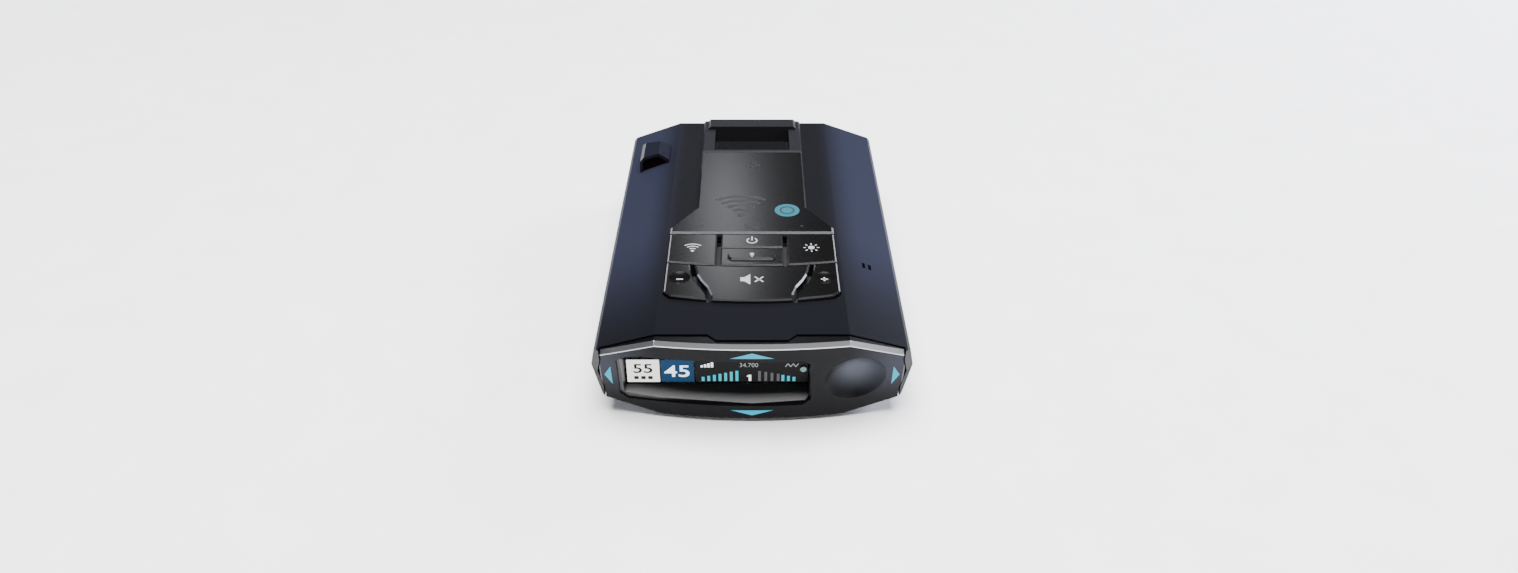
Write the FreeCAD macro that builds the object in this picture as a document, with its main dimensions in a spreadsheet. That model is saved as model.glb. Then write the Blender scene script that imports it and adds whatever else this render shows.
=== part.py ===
"""Windscreen radar detector: a wedge-sided plastic casing with a display face towards the driver (-Y),
a keypad and a magnetic mount pocket on top, and the antennas, boards, speaker and sockets inside.

Millimetres. +X is the driver's right, +Y the road, +Z up. The origin is the middle of the footprint,
on the surface that the rubber feet stand on.
"""

import FreeCAD, Part
import Sketcher
import math
import os

from FreeCAD import Rotation, Vector

DIMENSIONS = {
    # casing, outside
    "half_width": 45.0,  # at the parting line, where the casing is widest
    "front_y": -68.1,
    "rear_y": 68.0,
    "deck_z": 32.0,
    "base_z": 1.5,
    "band_half": 26.0,  # half of the flat middle band
    "wing_x": 43.0,  # outer edge of a sloping wing
    "wing_z": 25.3,
    "wing_bevel": 0.8,
    "parting_z": 16.0,
    "skirt_x": 42.3,  # outer edge of the sloping underside
    "skirt_z": 7.0,
    "wall": 2.0,
    "face_bow_top": 1.7,  # how far the face's middle stands ahead of the band's edges
    "face_bow_low": 2.3,
    "face_lean": 7.1,  # how far the band's edges step back from deck to base
    "cheek_x": 41.5,
    "cheek_step": 2.5,
    "flank_x": 45.6,
    "flank_step": 8.3,
    "corner_radius": 5.0,
    "nose_z": 22.0,
    "nose_depth": 1.9,
    "rear_wall": 2.6,
    # front face
    "seam": 0.4,
    "bezel_half": 41.1,
    "bezel_back_y": -63.4,
    "bezel_end_y": -62.4,
    "tab_y": -65.9,
    "tab_half": 9.5,
    "tab_root_half": 11.9,
    "core_back_y": -60.9,
    "trim_drop": 0.4,
    "trim_height": 1.5,
    "trim_bevel": 1.1,
    "window_left": -37.0,
    "window_right": 16.3,
    "window_low": 6.9,
    "window_high": 25.4,
    "window_corner": 2.2,
    "window_shoulder": 6.5,
    "shroud_set_back": 0.5,
    "screen_left": -35.4,
    "screen_right": 15.9,
    "screen_low": 10.5,
    "screen_high": 20.2,
    "screen_y": -57.0,
    "lens_thick": 0.9,
    "oled_thick": 1.6,
    "board_thick": 1.2,
    "dish_x": 28.6,
    "dish_z": 16.4,
    "dish_y": -62.6,
    "dish_radius": 12.5,
    "dish_depth": 3.7,
    "arrow_half": 5.9,
    "arrow_rise": 2.2,
    "arrow_up_z": 26.8,
    "arrow_down_z": 5.0,
    "side_arrow_x": 38.7,
    "side_arrow_reach": 2.0,
    "side_arrow_half": 3.7,
    "side_arrow_z": 16.3,
    "arrow_back_y": -57.5,
    "arrow_hole_y": -54.4,
    # console panel and keypad
    "console_rear_y": 41.3,
    "console_neck_half": 17.3,
    "console_neck_y": 3.0,
    "console_half": 24.9,
    "console_shoulder_y": -9.2,
    "console_front_y": -12.4,
    "console_height": 1.0,
    "console_bevel": 0.6,
    "key_top_z": 33.2,
    "key_skirt_z": 29.2,
    "key_bevel": 0.45,
    "key_gap": 0.3,
    "key_half": 24.7,
    "row_rear_y": -13.6,
    "row_split_y": -28.9,
    "row_split_bow": 2.0,
    "row_front_y": -46.2,
    "row_front_bow": 2.6,
    "centre_key_half": 9.2,
    "side_key_inner": 10.5,
    "power_front_y": -21.1,
    "mute_rear_half": 16.7,
    "mute_waist_half": 14.5,
    "mute_waist_y": -38.7,
    "mute_front_half": 11.3,
    "mute_gap": 1.3,
    "corner_cut": 2.0,
    "ridge_half": 7.2,
    "ridge_rear_y": -24.6,
    "ridge_front_y": -28.6,
    "ridge_height": 0.7,
    "ridge_bevel": 0.6,
    "finger_radius": 8.0,
    "finger_depth": 0.6,
    "well_gap": 0.35,
    "stem_half": 1.6,
    "stem_tip_z": 26.0,
    "guide_z": 27.0,
    "guide_thick": 1.4,
    "stem_play": 0.15,
    "collar_half": 2.3,
    "collar_z": 26.7,
    "guide_rim_z": 29.5,
    "keypad_board_z": 23.6,
    "dome_radius": 2.6,
    # magnetic mount
    "mount_half": 17.3,
    "mount_front_y": 41.6,
    "mount_rear_y": 65.6,
    "pocket_half": 13.0,
    "pocket_front_y": 42.8,
    "pocket_rear_y": 58.6,
    "pocket_floor_z": 28.2,
    "pocket_wall": 1.2,
    "bar_half": 14.8,
    "bar_z": 34.2,
    "magnet_radius": 4.5,
    "magnet_thick": 1.8,
    "magnet_x": 7.0,
    # rear laser hood
    "hood_front_y": 37.0,
    "hood_roof_y": 45.5,
    "hood_tail_y": 51.8,
    "hood_lens_thick": 1.2,
    # light sensor slots
    "slot_x": 33.9,
    "slot_y": -25.1,
    "slot_half": 1.35,
    "slot_width": 0.9,
    "slot_pitch": 1.8,
    # boards and electronics
    "board_z": 11.5,
    "main_board_half": 33.5,
    "main_board_front": -50.0,
    "main_board_rear": 60.0,
    "horn_height": 9.4,
    "horn_wall": 1.0,
    "front_horn_x": 8.0,
    "front_horn_y": 63.0,
    "rear_horn_x": 22.0,
    "rear_horn_y": -51.0,
    "horn_mouth_half": 12.5,
    "horn_throat_half": 5.0,
    "horn_length": 26.0,
    "guide_length": 13.0,
    "gps_y": 26.0,
    "gps_half": 9.0,
    "gps_board_half": 12.0,
    "gps_z": 25.0,
    "speaker_x": -12.0,
    "speaker_y": -30.0,
    "speaker_radius": 13.0,
    "speaker_height": 6.4,
    # sockets on the left flank
    "socket_x": -43.4,
    "power_y": 22.0,
    "power_half": 6.5,
    "power_height": 9.2,
    "usb_y": 8.0,
    "usb_half": 4.4,
    "usb_height": 3.4,
    "earphone_y": -4.0,
    "earphone_radius": 1.8,
    "earphone_collar": 3.0,
    "earphone_depth": 13.0,
    # road-side window
    "visor_half": 25.0,
    "visor_low": 8.0,
    "visor_high": 21.0,
    "visor_split": -4.6,
    "visor_corner": 2.0,
    # underside and fasteners
    "boss_x": 37.4,
    "boss_front_y": -42.0,
    "boss_rear_y": 52.0,
    "boss_radius": 3.1,
    "boss_split_z": 10.0,
    "pilot_radius": 1.1,
    "screw_radius": 1.05,
    "screw_head_radius": 2.2,
    "screw_head_z": 6.6,
    "screw_tip_z": 18.0,
    "foot_x": 20.0,
    "foot_front_y": -49.0,
    "foot_rear_y": 56.0,
    "foot_radius": 4.5,
    "foot_recess": 0.6,
    "label_half_x": 17.0,
    "label_half_y": 11.0,
    "label_y": 22.0,
    "label_depth": 0.4,
}


class Size:
    """A number that also carries the spreadsheet expression that gives it."""

    def __init__(self, value, text):
        self.value = value
        self.text = text

    @staticmethod
    def of(number):
        return number if isinstance(number, Size) else Size(float(number), f"({number:g})")

    def joined(self, other, sign, value):
        return Size(value, f"({self.text} {sign} {other.text})")

    def __add__(self, other):
        other = Size.of(other)
        return self.joined(other, "+", self.value + other.value)

    def __sub__(self, other):
        other = Size.of(other)
        return self.joined(other, "-", self.value - other.value)

    def __mul__(self, other):
        other = Size.of(other)
        return self.joined(other, "*", self.value * other.value)

    def __truediv__(self, other):
        other = Size.of(other)
        return self.joined(other, "/", self.value / other.value)

    def __neg__(self):
        return Size(-self.value, f"(0 - {self.text})")


class Dimensions:
    """The driving dimensions, by name: d.wall is the wall's Size."""

    def __init__(self, table):
        self.table = table

    def __getattr__(self, name):
        return Size(self.table[name], f"dims.{name}")


d = Dimensions(DIMENSIONS)
doc = FreeCAD.newDocument("radar_detector")
kept = []


def make_sheet():
    sheet = doc.addObject("Spreadsheet::Sheet", "dims")
    for row, (alias, value) in enumerate(DIMENSIONS.items(), start=1):
        sheet.set(f"A{row}", alias)
        sheet.set(f"B{row}", f"{value}")
        sheet.setAlias(f"B{row}", alias)
    doc.recompute()


def bind(thing, prop, size):
    thing.setExpression(prop, Size.of(size).text)


def keep(thing, label):
    """Marks an object of the document as a finished sub-part, whose Label names its file."""
    thing.Label = label
    kept.append(thing)
    return thing


# ---------------------------------------------------------------- sketches and bodies


def mirrored(points):
    """Points followed by their mirror images in X = 0, in reverse order."""
    return points + [(-Size.of(x), y) for x, y in reversed(points)]


def arc_middle(start, end, radius):
    """The middle of an arc from start to end. A positive radius bulges to the right of that direction."""
    chord = end - start
    half = chord.Length / 2
    sagitta = abs(radius) - math.sqrt(radius * radius - half * half)
    right = Vector(chord.y, -chord.x, 0).normalize()
    return start + chord * 0.5 + right * math.copysign(sagitta, radius)


def sketch_on(body, plane, offset):
    """A sketch on one of the body's own planes, moved along the plane's normal by offset."""
    sketch = body.newObject("Sketcher::SketchObject", f"{body.Name}_sketch")
    support = [f for f in body.Origin.OriginFeatures if f.Role == plane][0]
    sketch.AttachmentSupport = [(support, "")]
    sketch.MapMode = "FlatFace"
    bind(sketch, "AttachmentOffset.Base.z", offset)
    return sketch


def constrain(sketch, prop, *references):
    index = sketch.addConstraint(Sketcher.Constraint(*references))
    bind(sketch, f"Constraints[{index}]", prop)


def draw(sketch, points, arcs):
    """Closes the points into an outline, each held by two dimensions. arcs gives a side's radius by the
    number of the point it starts at."""
    places = [Vector(Size.of(x).value, Size.of(y).value, 0) for x, y in points]
    ends = []
    for n, start in enumerate(places):
        end = places[(n + 1) % len(places)]
        if n in arcs:
            middle = arc_middle(start, end, arcs[n].value)
            sketch.addGeometry(Part.Arc(start, middle, end), False)
            forward = sketch.getPoint(n, 1).distanceToPoint(start) < 1e-6
        else:
            sketch.addGeometry(Part.LineSegment(start, end), False)
            forward = True
        ends.append((1, 2) if forward else (2, 1))
    for n in range(len(places)):
        after = (n + 1) % len(places)
        sketch.addConstraint(Sketcher.Constraint("Coincident", n, ends[n][1], after, ends[after][0]))
    for n, (x, y) in enumerate(points):
        constrain(sketch, x, "DistanceX", -1, 1, n, ends[n][0], places[n].x)
        constrain(sketch, y, "DistanceY", -1, 1, n, ends[n][0], places[n].y)
    for n, radius in arcs.items():
        size = radius if radius.value > 0 else -radius
        constrain(sketch, size, "Radius", n, size.value)


def draw_circle(sketch, centre, radius):
    x, y = Size.of(centre[0]), Size.of(centre[1])
    sketch.addGeometry(Part.Circle(Vector(x.value, y.value, 0), Vector(0, 0, 1), radius.value), False)
    constrain(sketch, x, "DistanceX", -1, 1, 0, 3, x.value)
    constrain(sketch, y, "DistanceY", -1, 1, 0, 3, y.value)
    constrain(sketch, radius, "Radius", 0, radius.value)


def feature(body, kind, plane, low, high, points, arcs, radius):
    """A pad or pocket between low and high, measured along the row axis that the plane faces."""
    low, high = Size.of(low), Size.of(high)
    faces_back = plane == "XZ_Plane"  # this plane's normal is -Y
    near = -high if faces_back else low
    far = -low if faces_back else high
    sketch = sketch_on(body, plane, near if kind == "Pad" else far)
    if radius is None:
        draw(sketch, points, arcs or {})
    else:
        draw_circle(sketch, points, radius)
    made = body.newObject(f"PartDesign::{kind}", f"{body.Name}_{kind.lower()}")
    made.Profile = sketch
    bind(made, "Length", high - low)
    return made


def prism(name, plane, low, high, points, arcs=None, radius=None):
    """A body padded from an outline, or from a circle if radius is given."""
    body = doc.addObject("PartDesign::Body", name)
    feature(body, "Pad", plane, low, high, points, arcs, radius)
    return body


def add(body, plane, low, high, points, arcs=None, radius=None):
    return feature(body, "Pad", plane, low, high, points, arcs, radius)


def pocket(body, plane, low, high, points, arcs=None, radius=None):
    return feature(body, "Pocket", plane, low, high, points, arcs, radius)


def oblong(x_low, x_high, y_low, y_high):
    return [(x_low, y_low), (x_high, y_low), (x_high, y_high), (x_low, y_high)]


def cut_corners(x_low, x_high, y_low, y_high, corner):
    """A rectangle with its corners cut off at 45 degrees."""
    return [
        (x_low + corner, y_low),
        (x_high - corner, y_low),
        (x_high, y_low + corner),
        (x_high, y_high - corner),
        (x_high - corner, y_high),
        (x_low + corner, y_high),
        (x_low, y_high - corner),
        (x_low, y_low + corner),
    ]


def bevel(body, size, rule):
    """Chamfers the body's edges whose middle the rule accepts."""
    doc.recompute()
    base = body.Tip
    names = [f"Edge{n}" for n, edge in enumerate(base.Shape.Edges, start=1) if rule(middle_of(edge))]
    chamfer = body.newObject("PartDesign::Chamfer", f"{body.Name}_chamfer")
    chamfer.Base = (base, names)
    bind(chamfer, "Size", size)
    return chamfer


def middle_of(edge):
    return edge.valueAt((edge.FirstParameter + edge.LastParameter) / 2)


# ---------------------------------------------------------------- primitives and booleans


def box(name, x, y, z):
    """A box from (low, high) pairs."""
    made = doc.addObject("Part::Box", name)
    for side, axis, (low, high) in (("Length", "x", x), ("Width", "y", y), ("Height", "z", z)):
        bind(made, side, Size.of(high) - low)
        bind(made, f"Placement.Base.{axis}", low)
    return made


def cylinder(name, axis, centre, radius, low, high):
    """A cylinder along one row axis. centre gives its place on the other two, in X, Y, Z order."""
    made = doc.addObject("Part::Cylinder", name)
    turns = {"x": Rotation(Vector(0, 1, 0), 90), "y": Rotation(Vector(1, 0, 0), -90), "z": Rotation()}
    made.Placement.Rotation = turns[axis]
    places = list(centre)
    places.insert("xyz".index(axis), low)
    for name_of_axis, place in zip("xyz", places):
        bind(made, f"Placement.Base.{name_of_axis}", place)
    bind(made, "Radius", radius)
    bind(made, "Height", Size.of(high) - low)
    return made


def fuse(name, *shapes):
    made = doc.addObject("Part::MultiFuse", name)
    made.Shapes = list(shapes)
    return made


def common(name, *shapes):
    made = doc.addObject("Part::MultiCommon", name)
    made.Shapes = list(shapes)
    return made


def cut(name, base, *tools):
    made = doc.addObject("Part::Cut", name)
    made.Base = base
    made.Tool = tools[0] if len(tools) == 1 else fuse(f"{name}_tools", *tools)
    return made


def chamfered(name, base, size, rule):
    """A boolean result with the edges that the rule accepts cut back."""
    doc.recompute()
    made = doc.addObject("Part::Chamfer", name)
    made.Base = base
    numbers = [n for n, edge in enumerate(base.Shape.Edges, start=1) if rule(middle_of(edge))]
    made.Edges = [(n, size.value, size.value) for n in numbers]
    return made


# ---------------------------------------------------------------- casing


def section(inset):
    """The casing's cross-section as (x, z) points, set in by inset."""
    slope = (d.deck_z - d.wing_z) / (d.wing_x - d.band_half)
    right = [
        (d.band_half - inset * 0.2, d.base_z + inset),
        (d.skirt_x - inset * 0.85, d.skirt_z + inset * 0.8),
        (d.half_width - inset * 1.05, d.parting_z),
        (d.wing_x + d.wing_bevel * 0.2 - inset, d.wing_z - d.wing_bevel - inset * 0.4),
        (d.wing_x - d.wing_bevel - inset * 0.6, d.wing_z + d.wing_bevel * slope - inset * 0.9),
        (d.band_half - inset * 0.2, d.deck_z - inset),
    ]
    return mirrored(right)


def front_outline(bow, shift):
    """The casing's plan at one height: a bowed face, two swept facets and two cheeks."""
    edge_y = d.front_y + d.face_bow_top + shift
    radius = (d.band_half * d.band_half + bow * bow) / (bow * 2)
    right = [
        (d.band_half, edge_y),
        (d.cheek_x, edge_y + d.cheek_step),
        (d.flank_x, edge_y + d.flank_step),
        (d.flank_x, d.rear_y + 20),
    ]
    points = mirrored(right)
    return points, {len(points) - 1: radius}


def make_envelope():
    """The casing's outside as one solid: section, front plan, rear plan and sloping nose."""
    through = prism("section_block", "XZ_Plane", d.front_y - 10, d.rear_y, section(Size.of(0)))
    loft = doc.addObject("PartDesign::Body", "front_block")
    low = sketch_on(loft, "XY_Plane", d.base_z)
    draw(low, *front_outline(d.face_bow_low, d.face_lean))
    top = sketch_on(loft, "XY_Plane", d.deck_z)
    draw(top, *front_outline(d.face_bow_top, Size.of(0)))
    between = loft.newObject("PartDesign::AdditiveLoft", "front_loft")
    between.Profile = low
    between.Sections = [top]
    between.Ruled = True
    corner = d.rear_y - d.corner_radius
    side = d.flank_x - d.corner_radius
    rear = prism(
        "rear_block",
        "XY_Plane",
        0,
        d.deck_z + 5,
        [
            (-d.flank_x, d.front_y - 10),
            (d.flank_x, d.front_y - 10),
            (d.flank_x, corner),
            (side, d.rear_y),
            (-side, d.rear_y),
            (-d.flank_x, corner),
        ],
        {2: d.corner_radius, 4: d.corner_radius},
    )
    nose = prism(
        "nose_wedge",
        "YZ_Plane",
        -d.flank_x,
        d.flank_x,
        [
            (d.rear_y, d.nose_z),
            (d.rear_y + 5, d.nose_z),
            (d.rear_y + 5, d.deck_z),
            (d.rear_y - d.nose_depth, d.deck_z),
        ],
    )
    return cut("envelope", common("blunt_envelope", through, loft, rear), nose)


def leaning_region(name, points, arcs=None):
    """A plan outline drawn at deck level and carried down with the face's lean."""
    body = doc.addObject("PartDesign::Body", name)
    sketch = sketch_on(body, "XY_Plane", d.deck_z)
    draw(sketch, points, arcs or {})
    pad = body.newObject("PartDesign::Pad", f"{name}_pad")
    pad.Profile = sketch
    pad.UseCustomVector = True
    pad.AlongSketchNormal = True
    pad.Direction = Vector(0, d.face_lean.value / (d.base_z.value - d.deck_z.value), 1)
    pad.Reversed = True
    bind(pad, "Length", d.deck_z)
    return body


def bezel_region(name, grow):
    """Everything ahead of the seam between the shells and the face bezel, grown by grow."""
    ahead = d.front_y - 20
    right = [
        (d.bezel_half + grow, ahead),
        (d.bezel_half + grow, d.bezel_end_y + grow),
        (d.band_half, d.bezel_back_y + grow),
        (d.tab_root_half, d.bezel_back_y + grow),
        (d.tab_half, d.tab_y + grow),
    ]
    return leaning_region(name, mirrored(right))


def visor_outline(left, right, grow):
    return cut_corners(left - grow, right + grow, d.visor_low - grow, d.visor_high + grow, d.visor_corner)


def socket_openings(name):
    """The three openings in the left flank, each a little larger than the socket that stands in it."""
    out, inside, play = d.socket_x - 5, d.socket_x + 6, 0.25
    floor = d.board_z + d.board_thick
    power = box(
        f"{name}_power",
        (out, inside),
        (d.power_y - d.power_half - play, d.power_y + d.power_half + play),
        (floor - play, floor + d.power_height + play),
    )
    usb = box(
        f"{name}_usb",
        (out, inside),
        (d.usb_y - d.usb_half - play, d.usb_y + d.usb_half + play),
        (floor - play, floor + d.usb_height + play),
    )
    collar = d.earphone_collar + play
    earphone = cylinder(
        f"{name}_earphone", "x", (d.earphone_y, floor + d.earphone_collar), collar, out, inside
    )
    return [power, usb, earphone]


def boss_places():
    return [(side, y) for y in (d.boss_front_y, d.boss_rear_y) for side in (-d.boss_x, d.boss_x)]


def foot_places():
    return [(side, y) for y in (d.foot_front_y, d.foot_rear_y) for side in (-d.foot_x, d.foot_x)]


def key_field(grow, low, high, name):
    """The whole keypad's outline, grown by grow: straight sides, cut front corners and a bowed front."""
    half = d.key_half + grow
    radius = (d.key_half * d.key_half) / (d.row_front_bow * 2)
    front = d.row_front_y - grow
    points = [
        (-half, d.row_rear_y + grow),
        (-half, front + d.corner_cut),
        (-half + d.corner_cut, front),
        (half - d.corner_cut, front),
        (half, front + d.corner_cut),
        (half, d.row_rear_y + grow),
    ]
    return prism(name, "XY_Plane", low, high, points, {2: radius})


def make_shells(envelope):
    cavity = prism("cavity", "XZ_Plane", d.front_y - 20, d.rear_y - d.rear_wall, section(d.wall))
    face_cut = bezel_region("seam_cut", d.seam)
    skin = cut("shell_skin", envelope, cavity, face_cut)
    visor_cut = prism(
        "visor_cut",
        "XZ_Plane",
        d.rear_y - 6,
        d.rear_y + 5,
        visor_outline(-d.visor_half, d.visor_half, Size.of(0.15)),
    )

    length = (d.front_y - 5, d.rear_y + 5)
    upper = box("upper_half", (-d.flank_x, d.flank_x), length, (d.parting_z, d.deck_z + 5))
    bosses = []
    pilots = []
    for n, place in enumerate(boss_places()):
        bosses.append(cylinder(f"boss_{n}", "z", place, d.boss_radius, d.boss_split_z, d.wing_z))
        pilots.append(cylinder(f"pilot_{n}", "z", place, d.pilot_radius, d.boss_split_z, d.wing_z - 4))
    mount_hole = box(
        "mount_hole",
        (-d.pocket_half - d.pocket_wall - 0.1, d.pocket_half + d.pocket_wall + 0.1),
        (d.pocket_front_y - d.pocket_wall - 0.1, d.pocket_rear_y + d.pocket_wall + 0.1),
        (d.deck_z - 5, d.deck_z + 1),
    )
    across = (Size.of(-36.2), Size.of(-30.6))
    hood_hole = box("hood_hole", across, (d.hood_front_y + 2.4, d.hood_roof_y), (24, 34))
    slots = []
    for n, side in enumerate((-1, 1)):
        middle = d.slot_x + d.slot_pitch * side / 2
        slots.append(
            box(
                f"sensor_slot_{n}",
                (middle - d.slot_width / 2, middle + d.slot_width / 2),
                (d.slot_y - d.slot_half, d.slot_y + d.slot_half),
                (22, 34),
            )
        )
    key_well = key_field(d.well_gap, d.deck_z - 5, d.deck_z + 5, "key_well")
    walls = common("upper_walls", skin, upper)
    top = cut(
        "top_shell_flat",
        fuse("top_shell_body", walls, *bosses),
        *pilots,
        mount_hole,
        hood_hole,
        key_well,
        visor_cut,
        *slots,
        *socket_openings("upper_sockets"),
    )
    keep(top, "top_shell")

    lower = box("lower_half", (-d.flank_x, d.flank_x), (d.front_y - 5, d.rear_y + 5), (0, d.parting_z))
    posts = []
    drills = []
    for n, place in enumerate(boss_places()):
        posts.append(cylinder(f"post_{n}", "z", place, d.boss_radius, d.base_z, d.boss_split_z))
        drills.append(cylinder(f"drill_{n}", "z", place, d.screw_radius + 0.3, 0, d.boss_split_z))
        head_radius = d.screw_head_radius + 0.3
        drills.append(cylinder(f"counterbore_{n}", "z", place, head_radius, 0, d.screw_head_z + 1.6))
    recesses = [
        cylinder(f"foot_recess_{n}", "z", place, d.foot_radius + 0.1, 0, d.base_z + d.foot_recess)
        for n, place in enumerate(foot_places())
    ]
    label_recess = box(
        "label_recess",
        (-d.label_half_x - 0.2, d.label_half_x + 0.2),
        (d.label_y - d.label_half_y - 0.2, d.label_y + d.label_half_y + 0.2),
        (0, d.base_z + d.label_depth),
    )
    grille = []
    for n in range(-3, 4):
        reach = math.sqrt(1 - (n / 4) ** 2)
        middle = d.speaker_x + n * 3
        grille.append(
            box(
                f"grille_{n + 3}",
                (middle - 0.6, middle + 0.6),
                (
                    d.speaker_y - d.speaker_radius * (0.8 * reach),
                    d.speaker_y + d.speaker_radius * (0.8 * reach),
                ),
                (0, d.base_z + d.wall + 1),
            )
        )
    within = common("posts_inside", envelope, fuse("posts", *posts))
    floor = common("lower_walls", skin, lower)
    bottom = cut(
        "bottom_shell_flat",
        fuse("bottom_shell_body", floor, within),
        *drills,
        *recesses,
        label_recess,
        *grille,
        visor_cut,
        *socket_openings("lower_sockets"),
    )
    keep(bottom, "bottom_shell")


# ---------------------------------------------------------------- front face


def window_outline(grow):
    """The display window in the face: a rectangle with cut right corners and a sloping left shoulder."""
    left, right = d.window_left - grow, d.window_right + grow
    low, high = d.window_low - grow, d.window_high + grow
    corner = d.window_corner
    return [
        (left + corner, low),
        (right - corner, low),
        (right, low + corner),
        (right, high - corner),
        (right - corner, high),
        (left + d.window_shoulder, high),
        (left + corner, high - 1.0),
        (left, high - 2.8),
        (left, low + corner),
    ]


def arrow_outlines():
    """The four direction arrows on the face, as (x, z) triangles by name."""
    up, down = d.arrow_up_z, d.arrow_down_z
    x, half, z = d.side_arrow_x, d.side_arrow_half, d.side_arrow_z
    return {
        "arrow_up": [(-d.arrow_half, up), (d.arrow_half, up), (0, up + d.arrow_rise)],
        "arrow_down": [(-d.arrow_half, down), (0, down - d.arrow_rise), (d.arrow_half, down)],
        "arrow_left": [(-x, z - half), (-x, z + half), (-x - d.side_arrow_reach, z)],
        "arrow_right": [(x, z - half), (x + d.side_arrow_reach, z), (x, z + half)],
    }


def make_face(envelope):
    region = bezel_region("bezel_region", Size.of(0))
    core_half = d.half_width - d.wall - 1
    core = common(
        "bezel_core",
        prism("core_block", "XZ_Plane", d.front_y - 2, d.front_y + 30, section(d.wall + 0.3)),
        leaning_region(
            "core_region", oblong(-core_half, core_half, d.front_y - 20, d.core_back_y)
        ),
    )
    top_line = [
        (-d.bezel_half, d.deck_z - (d.bezel_half - d.band_half) * 0.394),
        (-d.band_half, d.deck_z),
        (d.band_half, d.deck_z),
        (d.bezel_half, d.deck_z - (d.bezel_half - d.band_half) * 0.394),
    ]
    trim_top = [(x, z - d.trim_drop) for x, z in top_line]
    trim_low = [(x, z - d.trim_drop - d.trim_height) for x, z in top_line]
    sky = [(x, z + 6) for x, z in top_line]
    trim_layer = prism(
        "trim_layer", "XZ_Plane", d.front_y - 2, d.front_y + 9, trim_top + list(reversed(trim_low))
    )
    above_trim = prism(
        "above_trim", "XZ_Plane", d.front_y - 2, d.front_y + 9, sky + list(reversed(trim_low))
    )
    ring = common("trim_blank", envelope, region, trim_layer)

    def front_top(point):
        below_deck = max(0.0, abs(point.x) - d.band_half.value) * 0.394
        on_top = abs(point.z - (d.deck_z.value - below_deck - d.trim_drop.value)) < 0.15
        return on_top and (point.y < -66.4 or (abs(point.x) > 27 and point.y < -63.6))

    keep(chamfered("trim_strip", ring, d.trim_bevel, front_top), "bezel_trim")

    window = prism("window_cut", "XZ_Plane", d.front_y - 5, d.front_y + 20, window_outline(Size.of(0)))
    holes = []
    pipes = {}
    for name, points in arrow_outlines().items():
        holes.append(prism(f"{name}_hole", "XZ_Plane", d.front_y - 5, d.arrow_hole_y, points))
        pipes[name] = prism(f"{name}_block", "XZ_Plane", d.front_y - 5, d.arrow_back_y, points)
    dish = doc.addObject("Part::Sphere", "dish")
    bind(dish, "Radius", d.dish_radius)
    out = d.dish_radius - d.dish_depth
    bind(dish, "Placement.Base.x", d.dish_x + out * 0.137)
    bind(dish, "Placement.Base.y", d.dish_y - out * 0.969)
    bind(dish, "Placement.Base.z", d.dish_z - out * 0.204)
    whole = fuse("bezel_block", region, core)
    blank = common("bezel_blank", envelope, whole)
    bezel = cut("face_bezel_cut", blank, above_trim, window, dish, *holes)
    keep(bezel, "face_bezel")

    for name, block in pipes.items():
        keep(common(f"{name}_piece", envelope, block, whole), name)

    set_back = leaning_region(
        "shroud_region",
        [
            (-d.cheek_x, d.front_y + d.cheek_step + d.face_bow_top + d.shroud_set_back),
            (-d.band_half, d.front_y + d.face_bow_top + d.shroud_set_back),
            (0, d.front_y + d.shroud_set_back),
            (d.band_half, d.front_y + d.face_bow_top + d.shroud_set_back),
            (d.band_half, d.front_y + 40),
            (-d.cheek_x, d.front_y + 40),
        ],
    )
    liner = prism(
        "shroud_block",
        "XZ_Plane",
        d.front_y - 2,
        d.screen_y + d.lens_thick + d.oled_thick,
        window_outline(Size.of(0)),
    )
    funnel = doc.addObject("PartDesign::Body", "shroud_funnel")
    mouth = sketch_on(funnel, "XZ_Plane", -d.front_y)
    low, high = d.window_low - 4.1, d.window_high + 4.2
    draw(mouth, oblong(d.window_left + 0.1, d.window_right - 0.1, low, high), {})
    throat = sketch_on(funnel, "XZ_Plane", -d.screen_y)
    draw(throat, oblong(d.screen_left, d.screen_right, d.screen_low, d.screen_high), {})
    loft = funnel.newObject("PartDesign::AdditiveLoft", "funnel_loft")
    loft.Profile = mouth
    loft.Sections = [throat]
    loft.Ruled = True
    seat = box(
        "lens_seat",
        (d.screen_left - 0.4, d.screen_right + 0.2),
        (d.screen_y, d.screen_y + 10),
        (d.screen_low - 0.8, d.screen_high + 0.8),
    )
    keep(cut("shroud", common("shroud_blank", liner, set_back), funnel, seat), "display_shroud")

    seat_x = (d.screen_left - 0.4, d.screen_right + 0.2)
    seat_z = (d.screen_low - 0.8, d.screen_high + 0.8)
    oled_y = d.screen_y + d.lens_thick
    board_y = oled_y + d.oled_thick
    keep(box("lens_plate", seat_x, (d.screen_y, oled_y), seat_z), "display_lens")
    keep(box("oled_plate", seat_x, (oled_y, board_y), seat_z), "oled_panel")
    board = prism(
        "display_board_body",
        "XZ_Plane",
        board_y,
        board_y + d.board_thick,
        cut_corners(-d.side_arrow_x - 1.2, d.side_arrow_x + 1.2, Size.of(8.2), Size.of(23.6), Size.of(3.0)),
    )
    keep(board, "display_board")
    lamps = []
    lamp_back = d.arrow_back_y + 0.8
    for n, (x, z) in enumerate(((0, 27.5), (0, 4.4), (-39.5, 16.3), (39.5, 16.3))):
        lamps.append(box(f"lamp_{n}", (x - 0.8, x + 0.8), (d.arrow_back_y, lamp_back), (z - 0.4, z + 0.4)))
    keep(fuse("lamps", *lamps), "arrow_leds")


# ---------------------------------------------------------------- console panel, keys and their domes


def make_console():
    top = d.deck_z + d.console_height
    right = [
        (d.console_half, d.console_front_y),
        (d.console_half, d.console_shoulder_y),
        (d.console_neck_half, d.console_neck_y),
        (d.console_neck_half, d.console_rear_y),
    ]
    panel = prism("console_body", "XY_Plane", d.deck_z, top, mirrored(right))
    bevel(panel, d.console_bevel, lambda p: abs(p.z - top.value) < 1e-6)
    keep(panel, "console_panel")


def row_radius(bow):
    return (d.key_half * d.key_half + bow * bow) / (bow * 2)


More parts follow.
